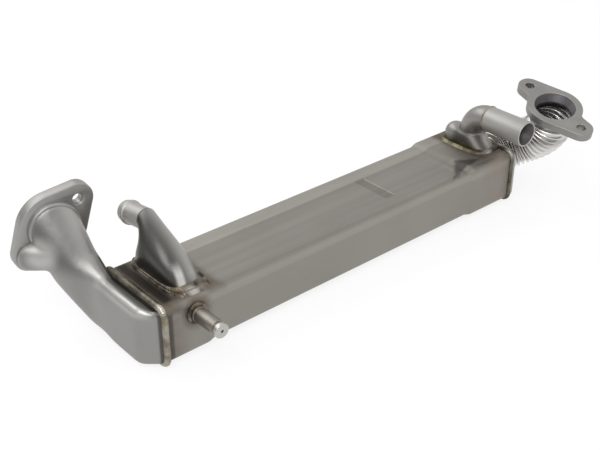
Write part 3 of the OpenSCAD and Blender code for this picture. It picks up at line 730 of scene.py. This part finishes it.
def duct_shape(p):
    """Slope the lid towards the seam, keep the skin off the casing and sink the gas way."""
    x, y, z = p.T
    z = z - 3.0 * step(-13.0, -2.0, x) * step(46, 54, z) * step(-40, -30, y) * (1 - step(34, 52, y))
    ymax = CY + END_R
    out = (np.abs(y) > ymax - 0.4) | (z > TOP - 0.3)
    x = np.minimum(x, np.where(out, -1.4, -0.1))
    p = np.stack([x, y, z], 1)
    far = p - INLET[:3, 3]
    deep = far @ INLET_N
    off = np.linalg.norm(far - np.outer(deep, INLET_N), axis=1)
    return p - np.outer(4.2 * (1 - step(14.5, 16.3, off)) * (deep > -12.0), INLET_N)


def inlet_duct():
    """The casting as one melted skin, with its collar, flange and bore."""
    at = lambda x, y: basis((x, y, ZC), (0, 0, 1))
    h = HIGH + 2 * FLARE
    reach, rim, lug_r, thick = 30.0, 30.0, 14.0, 10.5
    holes = bolt_holes(reach, IN_CLOCK, 16.5)
    header = []
    for x, low, high, r in ((-7, 1.5, -4, 9), (-4, -1.5, 0, 8)):
        header += [drum(at(x, y), low - h / 2, high + h / 2, r) for y in (-21.5, 37.5)]
    header += [np.array(seam_line(x)) for x in (-1.5, 0.0)]
    knee_ball = ball((-14.5, 62, 53), 21.5)
    lug = INLET.copy()
    lug[:3, 3] += lug[:3, :2] @ np.array(holes[0][:2])
    forms = [np.concatenate(header), np.concatenate([drum(at(-4.5, 38), -h / 2, h / 2, 12), knee_ball]),
             np.concatenate([knee_ball, drum(INLET, -14, -9.5, 21.5)]),
             np.concatenate([drum(lug, -13, -9.5, 12.5), ball((-26, 68, 66), 13)])]
    knee = lambda p: np.exp(-((p[:, 1] - 40) / 17) ** 2) * step(-6, -13, p[:, 0])
    blob("inlet_duct_casting", forms, 1.0, 26, duct_shape, CAST, ["inlet_duct"], knee)
    collar = [(-10, 19), (-14.5, 20.5), (-13.6, 22.6), (-12, 23.2), (-10, 23.6), (-10, 19)]
    spun("inlet_duct_collar", rounded(collar, 0.9), INLET, 96, CAST)
    a = math.acos((rim - lug_r) / reach)
    half = np.concatenate([arc(reach, 0, lug_r, -a, a), arc(0, 0, rim, a, math.pi - a)])
    line = turned(np.concatenate([half, -half]), IN_CLOCK)
    f = INLET.copy()
    f[:3, 3] -= f[:3, 2] * thick
    plate("inlet_duct_flange", line, holes, thick, 1.2, f, CAST)
    bore = [(-13, 16.5), (-9, 16.5), (-9, 17.5), (-13, 17.5)]
    spun("inlet_duct_bore", bore, INLET, 64, BORE)


inlet_duct()

# Gas outlet: cap, bellows, neck and flange


def bellows_path():
    """The place and frame at each distance along the bellows' middle line, and its lengths."""
    rx = lambda a: np.array([[1, 0, 0], [0, math.cos(a), -math.sin(a)], [0, math.sin(a), math.cos(a)]])
    ry = lambda a: np.array([[math.cos(a), 0, math.sin(a)], [0, 1, 0], [-math.sin(a), 0, math.cos(a)]])
    rad, run = 41.0, 6.0
    ba, bb, lean, roll = (math.radians(d) for d in (74, 49, 56, -63))
    p0, r0 = np.array([CAP_END + 4, STUB_Y, STUB_Z]), rx(lean)

    def at(s):
        if s <= run:
            return p0 + r0[:, 0] * s, r0
        p = p0 + r0[:, 0] * run
        a = min((s - run) / rad, ba)
        r = r0 @ ry(-a)
        p = p + r0[:, 2] * rad - r[:, 2] * rad
        b = (s - run) / rad - ba
        if b <= 0:
            return p, r
        q = r @ rx(roll)
        e = q @ ry(-min(b, bb))
        return p + q[:, 2] * rad - e[:, 2] * rad + e[:, 0] * max(0.0, (b - bb) * rad), e

    return at, run, rad * ba, rad * bb


PATH, RUN, ARC_A, ARC_B = bellows_path()


def bellows():
    """Waves round the middle line, with an outer and an inner skin."""
    n, wall, sleeve, root, wave = 96, 0.55, 19.3, 19.5, 4.0
    stops = [(0.0, sleeve), (RUN - 0.5, sleeve)]
    for start, length, waves in ((RUN, ARC_A, 10), (RUN + ARC_A, ARC_B, 7)):
        for i in range(waves):
            for u in np.linspace(0, 1, 21)[:-1]:
                w = 0.5 - 0.5 * math.cos(2 * math.pi * u)
                stops.append((start + (i + u) * length / waves, root + wave * w ** 0.55))
    stops.append((RUN + ARC_A + ARC_B, 19.2))
    a = np.linspace(0, 2 * np.pi, n, endpoint=False)
    rows, keep = [], None
    for side in (0.0, wall):
        part = []
        for s, r in stops:
            p, f = PATH(s)
            if keep is None:
                keep = f[:, 1]
            u = keep - f[:, 0] * (keep @ f[:, 0])
            u /= np.linalg.norm(u)
            w = np.cross(f[:, 0], u)
            if side == 0.0:
                keep = u
            part.append(p + (r - side) * (np.outer(np.cos(a), u) + np.outer(np.sin(a), w)))
        rows.append(part)
        keep = None
    both = np.array(rows[0] + rows[1][::-1])
    faces = quads(len(both), n, True, True)
    piece("bellows_waves", both.reshape(-1, 3), faces, WAVES, ["bellows"])


bellows()
END_P, END_F = PATH(RUN + ARC_A + ARC_B)
OUTLET = np.eye(4)
OUTLET[:3, :3] = np.stack([-END_F[:, 2], END_F[:, 1], END_F[:, 0]], 1)
OUTLET[:3, 3] = END_P


def outlet():
    """The outlet's neck, flange and weld, then the pressed cap with its stub."""
    neck = [(0, GAS_BORE), (0, 21.5), (7.4, 21.5), (7.4, GAS_BORE), (0, GAS_BORE)]
    spun("outlet_neck_ring", rounded(neck, 0.6), OUTLET, 96, PIPE, ["outlet_neck"])
    reach, rim, lug_r, seat, thick = 38.0, 28.0, 12.0, 7.0, 8.5
    a = math.acos((rim - lug_r) / reach)
    lug = arc(reach, 0, lug_r, -a, math.pi / 2 - 0.1)
    x0 = math.sqrt(rim * rim - lug_r * lug_r)
    body = arc(0, 0, rim, math.asin(lug_r / rim) + 0.13, math.pi - a)
    t = np.linspace(0, 1, 8)[:, None]
    nook = (1 - t) ** 2 * np.array([x0 + 4.5, lug_r]) + 2 * t * (1 - t) * np.array([x0, lug_r])
    nook = nook + t * t * body[0]
    half = np.concatenate([lug, nook, body[1:]])
    line = turned(np.concatenate([half, -half]), OUT_CLOCK)
    f4 = OUTLET.copy()
    f4[:3, 3] += f4[:3, 2] * seat
    holes = bolt_holes(reach, OUT_CLOCK, 20.5)
    plate("outlet_flange_plate", line, holes, thick, 0.9, f4, FLANGE, ["outlet_flange"])
    bore = [(seat, GAS_BORE), (seat, 20.6), (14.4, 20.6), (14.4, 20.3)]
    bore += [(7.5, 20.3), (7.5, 18.3), (0.5, 18.3), (0.5, GAS_BORE)]
    spun("outlet_flange_bore", bore, OUTLET, 96, BORE)
    weld("flange_weld_bead", hoop(OUTLET, 6.6, 21.7), 1.5, 1.5, WELD, ["flange_weld"], seed=5)
    bend, turns = 4, np.linspace(0, np.pi / 2, 7)[1:]
    flat = CAP_END - bend
    curl = [(flat + bend * math.sin(t), -bend * (1 - math.cos(t))) for t in turns]
    half_w, half_h = WIDE / 2 + FLARE, HIGH / 2 + FLARE
    rows = []
    for x, g in [(LEN - 1.5, 0), (LEN + 1, 0), (flat, 0)] + curl + [(CAP_END, -7), (CAP_END, -8.5)]:
        rows.append([(x, y * (1 + g / half_w), ZC + (z - ZC) * (1 + g / half_h)) for _, y, z in seam_line(x)])
    n = len(rows[0])
    v = np.concatenate([np.array(rows).reshape(-1, 3), [(CAP_END, STUB_Y, STUB_Z)]])
    last = (len(rows) - 1) * n
    f = quads(len(rows), n, False, True) + [(last + j, last + (j + 1) % n, len(v) - 1) for j in range(n)]
    piece("outlet_cap_shell", v, f, PIPE, ["outlet_cap"])
    stub = basis((CAP_END - 3, STUB_Y, STUB_Z), (1, 0, 0))
    wall = [(0, GAS_BORE), (0, 19.4), (7, 19.4), (7, GAS_BORE)]
    spun("outlet_stub_tube", wall, stub, 72, PIPE, ["outlet_stub"])
    weld("stub_weld_bead", hoop(stub, 3.4, 19.8), 1.7, 1.6, WELD, ["stub_weld"], seed=6)


outlet()

# Coolant outlet pipe with its hose end

HOSE_N = np.array([0.0, math.cos(math.radians(9)), -math.sin(math.radians(9))])
HOSE = basis((OUT_X, 30.0, TOP + 37.0), HOSE_N, (1, 0, 0))


def coolant_outlet():
    """The formed pipe between its front and rear curves, its hose end and its seam."""
    t = np.linspace(0, 1, 60)
    front = curve([(OUT_Y[0], -2), (-28.3, 19.7), (4.4, 42.7), (31.6, 46.6)], t)
    rear = curve([(OUT_Y[1], -2), (29.6, 8.4), (25.5, 27.9), (28.4, 27.4)], t)
    half = OUT_HALF + (9.6 - OUT_HALF) * step(0.36, 1, t)
    rows = []
    for f, r, h, u in zip(front, rear, half, t):
        wide, far = squared(2.0 + 1.7 * (1 - step(0, 0.75, u)), 120).T
        mid = (f + r) / 2 - np.outer(far, (f - r) / 2)
        rows.append(np.c_[OUT_X - 4 * math.sin(math.pi * u) + h * wide, mid[:, 0], TOP + mid[:, 1]])
    loft("coolant_outlet_pipe_skin", rows, PIPE, ["coolant_outlet_pipe"])
    bead = [(21.5, HOSE_R), (22.6, 10.6), (24.0, 10.8), (25.4, 10.6), (26.3, HOSE_R), (31, 9.3)]
    wall = [(-1, HOSE_BORE), (-1, HOSE_R)] + bead + [(31, HOSE_BORE), (-1, HOSE_BORE)]
    spun("coolant_outlet_nipple_tube", rounded(wall, 0.7), HOSE, 72, BRIGHT,
         ["coolant_outlet_nipple"])
    fillet("coolant_outlet_weld_bead", OUT_X, OUT_HALF, OUT_Y, 3.7, (5.6, 10.5, 1.8), 4.5, (2.0, 0.66, 0.22),
           BROWN_WELD, ["coolant_outlet_weld"])


coolant_outlet()

# Coolant inlet elbow with its tube


def coolant_inlet():
    """The elbow as one melted skin, its plain tube, and their welds."""
    foot = np.concatenate([slot_line(IN_BASE, IN_HALF, *IN_Y, z) for z in (TOP - 0.5, TOP + 1.5)])
    stand = drum(basis((IN_X - 1.6, 3.2, IN_Z - ELBOW_BEND), (0, 0, 1)), -4.0, 0.5, 13.8)
    middle = np.array([IN_X, ELBOW_END, IN_Z - ELBOW_BEND])

    def slice_at(t):
        """A thin slice of the bend at the angle t."""
        out = np.array([0, math.cos(t), math.sin(t)])
        way = (0, -math.sin(t), math.cos(t))
        return drum(basis(middle + ELBOW_BEND * out, way, (1, 0, 0)), -0.15, 0.15, 12.7)

    forms = [np.concatenate([foot, ball((IN_BASE - 2, 20.5, TOP + 6), 11), stand])]
    turns = np.linspace(0, np.pi / 2, 9)[:-1]
    forms += [np.concatenate([slice_at(a), slice_at(a + np.pi / 16)]) for a in turns]
    level = lambda p: np.c_[p[:, 0], p[:, 1], np.maximum(p[:, 2], TOP)]
    blob("coolant_inlet_elbow_skin", forms, 0.8, 24, level, ELBOW, ["coolant_inlet_elbow"])
    tube = basis((IN_X, ELBOW_END, IN_Z), (0, -1, 0), (1, 0, 0))
    wall = [(-1, TUBE_BORE), (-1, TUBE_R), (47, TUBE_R), (47, TUBE_BORE), (-1, TUBE_BORE)]
    spun("coolant_inlet_tube_wall", rounded(wall, 0.6), tube, 80, BRIGHT,
         ["coolant_inlet_tube"])
    # Painted shade: a dark sheet over the coolant tube's inside
    bore = [(-0.5, 11.05), (-0.5, 11.2), (46.4, 11.2), (46.4, 11.05)]
    spun("coolant_inlet_tube_bore", bore, tube, 80, BORE)
    weld("elbow_ring_weld_bead", hoop(tube, 0.3, 12.6), 0.8, 1.0, WELD, ["elbow_ring_weld"], seed=7)
    fillet("coolant_inlet_weld_bead", IN_BASE, IN_HALF, IN_Y, 3.2, (7.5, 5.0, 3.0), 1.8, (2.3, 0.5, 0.36),
           GOLD_WELD, ["coolant_inlet_weld"])


coolant_inlet()

# Bleed fitting


def bleed():
    """The boss, the stud with its groove and the weld round them."""
    f4 = basis((BLEED[0], FRONT, BLEED[1]), (0, -1, 0), (1, 0, 0))
    boss = rounded([(0, 1), (0, 7), (5, 7), (5, 1), (0, 1)], 0.8)
    spun("bleed_boss_ring", boss, f4, 48, STUD, ["bleed_boss"])
    stem = [(5, 1), (5, 6.5), (27.8, 6.5), (28, 5.4), (30, 5.4), (30.2, 6.5)]
    tip = [(33.2, 6.5), (34, 5.7), (34, 1.3), (28, 1.0), (5, 1)]
    spun("bleed_stud_pin", rounded(stem + tip, 0.35), f4, 56, STUD, ["bleed_stud"])
    weld("bleed_weld_bead", hoop(f4, 0.5, 7.4, 40), 2.4, 1.9, BROWN_WELD, ["bleed_weld"], seed=4)


bleed()

# Seams round the casing's ends

weld("inlet_seam_weld_bead", seam_line(1.0), 3.1, 1.8, SEAM_WELD, ["inlet_seam_weld"], seed=8)
weld("outlet_seam_weld_bead", seam_line(LEN - 1.0), 2.4, 1.8, OLIVE_WELD, ["outlet_seam_weld"], seed=9)

for name in ("inlet_tube_sheet", "outlet_tube_sheet", "gas_tubes", "baffles"):
    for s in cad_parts[name].material_slots:
        s.material = INNER

# Stage, light and camera

me = bpy.data.meshes.new("floor")
me.from_pydata([(-12, -12, 0), (12, -12, 0), (12, 12, 0), (-12, 12, 0)], [], [(0, 1, 2, 3)])
floor = bpy.data.objects.new("floor", me)
bpy.context.scene.collection.objects.link(floor)
me.materials.append(floor_paint())

world = bpy.data.worlds.new("studio")
bpy.context.scene.world = world
world.use_nodes = True
sky = Nodes(world.node_tree)
way = sky.node("ShaderNodeTexCoord", out="Generated")
height = sky.node("ShaderNodeVectorMath", {"operation": "DOT_PRODUCT"},
                  {0: way, 1: (0.45, -0.35, 0.82)}, "Value")
glow = sky.node("ShaderNodeMapRange", {}, {0: height, 1: -0.6, 2: 0.9, 3: 0.35, 4: 1.0})
background = world.node_tree.nodes["Background"]
sky.put(background.inputs["Strength"], glow)
sky.put(background.inputs["Color"], (1.0, 1.0, 1.0))


def lamp(name, at, aim, size, power):
    """A soft box of light at a place, turned to its aim; metres and watts."""
    d = bpy.data.lights.new(name, "AREA")
    d.shape, d.size, d.size_y, d.energy = "RECTANGLE", size[0], size[1], power
    o = bpy.data.objects.new(name, d)
    o.location = at
    o.rotation_euler = (Vector(aim) - Vector(at)).to_track_quat("-Z", "Y").to_euler()
    bpy.context.scene.collection.objects.link(o)


lamp("key", (-0.9, -0.7, 1.4), (-0.1, 0, 0.04), (1.1, 1.1), 14)
lamp("back", (-0.5, 1.6, 1.6), (0, 0, 0.04), (2.0, 1.0), 14)

cam = bpy.data.cameras.new("camera")
cam.lens, cam.sensor_width = 62.25, 36.0
eye = bpy.data.objects.new("camera", cam)
eye.location = (-0.3446 - MID_X * MM, -0.6027, 0.5173)
eye.rotation_euler = (math.radians(59.42), 0, math.radians(-40.74))
bpy.context.scene.collection.objects.link(eye)
bpy.context.scene.camera = eye
bpy.context.scene.view_settings.view_transform = "Standard"
